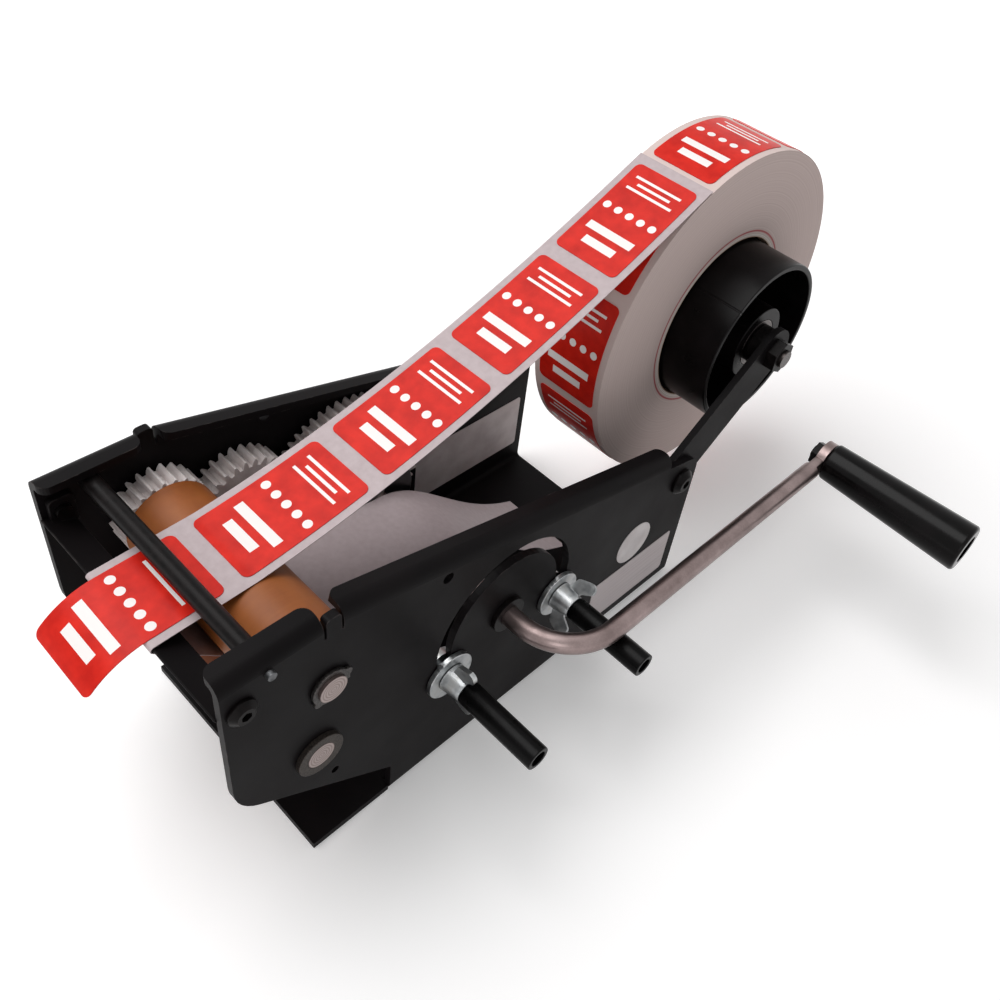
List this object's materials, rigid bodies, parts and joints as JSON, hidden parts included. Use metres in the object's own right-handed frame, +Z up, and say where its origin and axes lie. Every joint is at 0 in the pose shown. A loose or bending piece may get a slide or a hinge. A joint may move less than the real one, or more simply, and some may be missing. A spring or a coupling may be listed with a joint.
{
  "type": "hand-cranked label dispenser",
  "caption": "Bench label dispenser: a crank with adjustable stops turns geared rollers that pull backing paper round a peel plate and free labels from a roll on a spool.",
  "frame": {"origin": "middle of the underside of the base plate", "axes": "+X toward the crank side, +Y from front to back, +Z up"},
  "size_m": [0.2093, 0.3697, 0.1865],
  "materials": {
    "black_paint": "satin",
    "black_steel": "satin",
    "bushing_bronze": "satin",
    "bright_steel": "satin",
    "zinc": "semi-bright",
    "spring_steel": "satin",
    "gear_nylon": "satin",
    "clutch_plastic": "satin",
    "hub_plastic": "gloss",
    "tube_plastic": "matte",
    "roller_rubber": "matte",
    "liner_paper": "matte",
    "red_label": "semi-gloss",
    "core_board": "matte",
    "blank_sticker": "matte"
  },
  "bodies": {
    "frame": {"chassis": "black_paint", "peel_plate": "black_paint", "peel_screw_left": "black_steel", "peel_screw_right": "black_steel", "hold_down_bar": "black_steel", "bar_pin_left": "zinc", "bar_pin_right": "zinc", "drive_bushing_left": "bushing_bronze", "drive_bushing_right": "bushing_bronze", "pinch_bushing_left": "bushing_bronze", "pinch_bushing_right": "bushing_bronze", "crank_bushing_left": "black_steel", "crank_bushing_right": "black_steel", "idler_stud": "bright_steel", "idler_clip": "spring_steel", "roll_arm": "black_paint", "arm_screw": "black_steel", "arm_nut": "black_steel", "hub_axle": "bright_steel", "axle_nut": "black_steel", "axle_collar": "black_steel", "axle_clip": "spring_steel", "liner": "liner_paper", "web_labels": "red_label", "front_label": "red_label", "round_sticker": "blank_sticker", "plate_sticker": "blank_sticker", "inner_sticker": "blank_sticker"},
    "crank": {"crank_rod": "bright_steel", "crank_gear": "gear_nylon", "clutch_hub": "clutch_plastic", "clutch_ring": "zinc", "grip_bolt": "black_steel", "grip_nut": "black_steel"},
    "grip_handle": {"grip": "hub_plastic"},
    "idler": {"idler_gear": "gear_nylon"},
    "drive": {"drive_shaft": "bright_steel", "drive_roller": "roller_rubber", "drive_gear": "gear_nylon", "drive_ring_left": "spring_steel", "drive_ring_right": "spring_steel"},
    "pinch": {"pinch_shaft": "bright_steel", "pinch_roller": "roller_rubber", "pinch_ring_left": "spring_steel", "pinch_ring_right": "spring_steel"},
    "spool": {"spool_hub": "hub_plastic", "spool_bearing_near": "bright_steel", "spool_bearing_far": "bright_steel", "label_core": "core_board", "label_roll": "liner_paper", "roll_labels": "red_label"},
    "front_stop": {"front_stud": "zinc", "front_washer": "zinc", "front_tube": "tube_plastic"},
    "front_wing": {"front_wing_nut": "zinc"},
    "rear_stop": {"rear_stud": "zinc", "rear_washer": "zinc", "rear_tube": "tube_plastic"},
    "rear_wing": {"rear_wing_nut": "zinc"}
  },
  "joints": [
    {"name": "crank_turn", "type": "hinge", "parent": "frame", "child": "crank", "pos_m": [0, -0.01353, 0.06507], "axis": [1, 0, 0], "range_deg": [0, 150]},
    {"name": "grip_spin", "type": "hinge", "parent": "crank", "child": "grip_handle", "pos_m": [0, 0.15846, 0.06357], "axis": [1, 0, 0], "continuous": true},
    {"name": "idler_spin", "type": "hinge", "parent": "frame", "child": "idler", "pos_m": [0, -0.06191, 0.08433], "axis": [1, 0, 0], "range_deg": [-290, 1]},
    {"name": "drive_spin", "type": "hinge", "parent": "frame", "child": "drive", "pos_m": [0, -0.092, 0.0963], "axis": [1, 0, 0], "range_deg": [-1, 353]},
    {"name": "pinch_spin", "type": "hinge", "parent": "frame", "child": "pinch", "pos_m": [0, -0.09705, 0.06404], "axis": [1, 0, 0], "range_deg": [-353, 1]},
    {"name": "spool_spin", "type": "hinge", "parent": "frame", "child": "spool", "pos_m": [0, 0.1444, 0.1087], "axis": [1, 0, 0], "range_deg": [-1, 73]},
    {"name": "front_stop_set", "type": "hinge", "parent": "frame", "child": "front_stop", "pos_m": [0, -0.01353, 0.06507], "axis": [1, 0, 0], "range_deg": [-34, 6]},
    {"name": "front_wing_spin", "type": "hinge", "parent": "front_stop", "child": "front_wing", "pos_m": [0, -0.04135, 0.05384], "axis": [1, 0, 0], "continuous": true},
    {"name": "rear_stop_set", "type": "hinge", "parent": "frame", "child": "rear_stop", "pos_m": [0, -0.01353, 0.06507], "axis": [1, 0, 0], "range_deg": [-6, 0]},
    {"name": "rear_wing_spin", "type": "hinge", "parent": "rear_stop", "child": "rear_wing", "pos_m": [0, 0.01457, 0.05457], "axis": [1, 0, 0], "continuous": true}
  ],
  "couplings": [
    {"joint": "idler_spin", "follows": "crank_turn", "ratio": -1.9286},
    {"joint": "drive_spin", "follows": "crank_turn", "ratio": 2.3478},
    {"joint": "pinch_spin", "follows": "crank_turn", "ratio": -2.3478},
    {"joint": "spool_spin", "follows": "crank_turn", "ratio": 0.48093}
  ]
}
